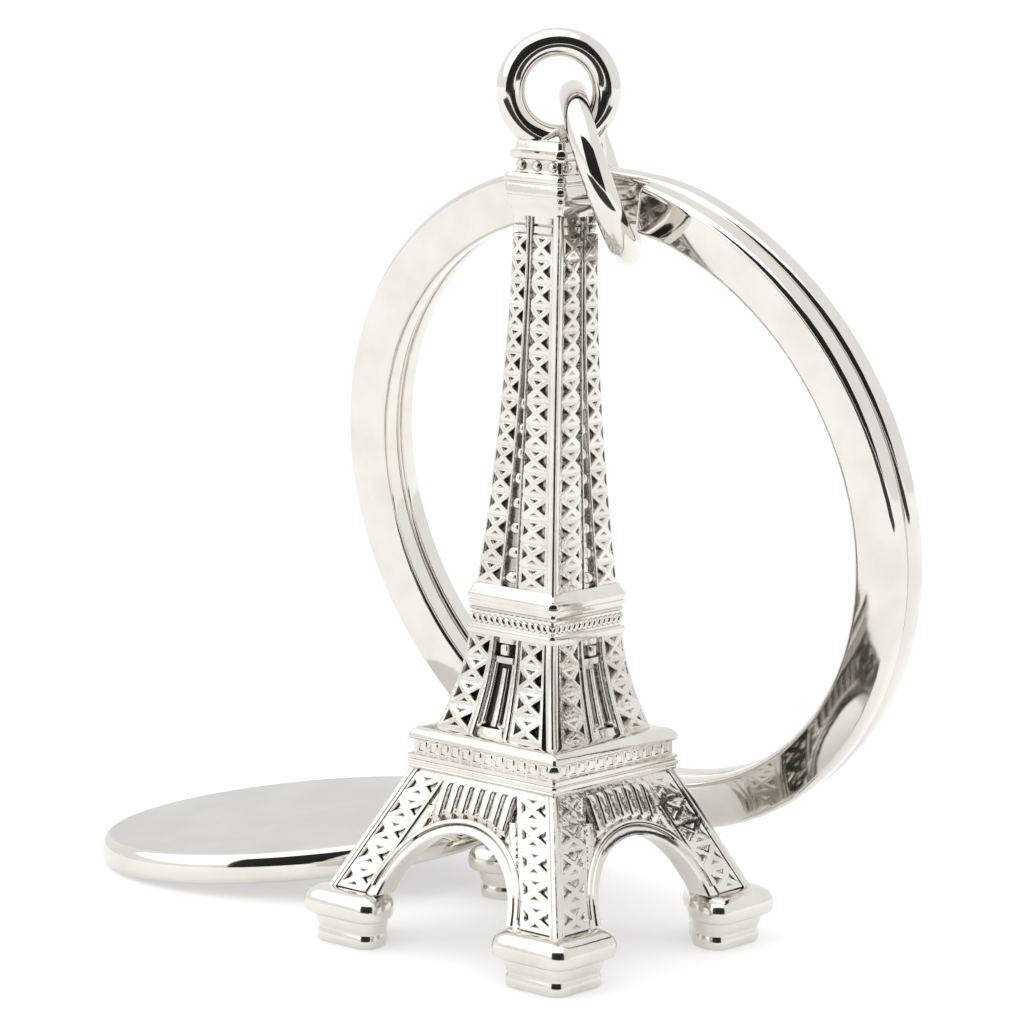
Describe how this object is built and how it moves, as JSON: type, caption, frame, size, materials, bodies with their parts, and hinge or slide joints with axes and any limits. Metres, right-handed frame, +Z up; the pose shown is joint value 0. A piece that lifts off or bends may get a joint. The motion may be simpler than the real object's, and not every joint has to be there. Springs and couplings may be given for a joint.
{
  "type": "keychain",
  "caption": "Keychain with a lattice tower charm hanging by a jump ring from a flat split ring, and a blank oval engraving tag on a small link.",
  "frame": {"origin": "middle of the tower's four soles, on the plane the tower stands on", "axes": "+Z up the tower to its hanging eye; +Y along the hole of the eye, away from the front corner; +X to the right corner"},
  "size_m": [0.04, 0.0356, 0.0455],
  "materials": {
    "bright_nickel": "bright nickel plate, polished",
    "satin_nickel": "nickel plate, satin faces and a polished edge"
  },
  "bodies": {
    "tower": {"foot_front": "bright_nickel", "foot_right": "bright_nickel", "foot_back": "bright_nickel", "foot_left": "bright_nickel", "leg_front": "bright_nickel", "leg_right": "bright_nickel", "leg_back": "bright_nickel", "leg_left": "bright_nickel", "arch_front_right": "bright_nickel", "arch_back_right": "bright_nickel", "arch_back_left": "bright_nickel", "arch_front_left": "bright_nickel", "lower_platform": "bright_nickel", "middle_stage": "bright_nickel", "upper_platform": "bright_nickel", "spire": "bright_nickel", "top_gallery": "bright_nickel", "hanging_eye": "bright_nickel"},
    "jump_ring_body": {"jump_ring": "bright_nickel"},
    "split_ring_body": {"split_ring": "bright_nickel"},
    "link_body": {"tag_link": "bright_nickel"},
    "tag_body": {"oval_tag": "satin_nickel"}
  },
  "joints": [
    {"name": "jump_ring_in_eye", "type": "hinge", "parent": "tower", "child": "jump_ring_body", "pos_m": [0.00224, 0.0008, 0.03837], "axis": [0.9279, -0.1219, 0.3525], "range_deg": [0, 35]},
    {"name": "split_ring_in_jump_ring", "type": "hinge", "parent": "jump_ring_body", "child": "split_ring_body", "pos_m": [0.00432, 0.00577, 0.02147], "axis": [0.6782, 0.7073, 0.1994], "range_deg": [0, 20]},
    {"name": "link_on_split_ring", "type": "hinge", "parent": "split_ring_body", "child": "link_body", "pos_m": [0.00295, 0.01134, 0.00632], "axis": [-0.73, 0.6174, 0.293], "range_deg": [0, 12]},
    {"name": "tag_on_link", "type": "hinge", "parent": "link_body", "child": "tag_body", "pos_m": [0.00269, 0.01419, 0.00357], "axis": [0.1135, -0.0012, -0.9935], "range_deg": [0, 80]}
  ]
}
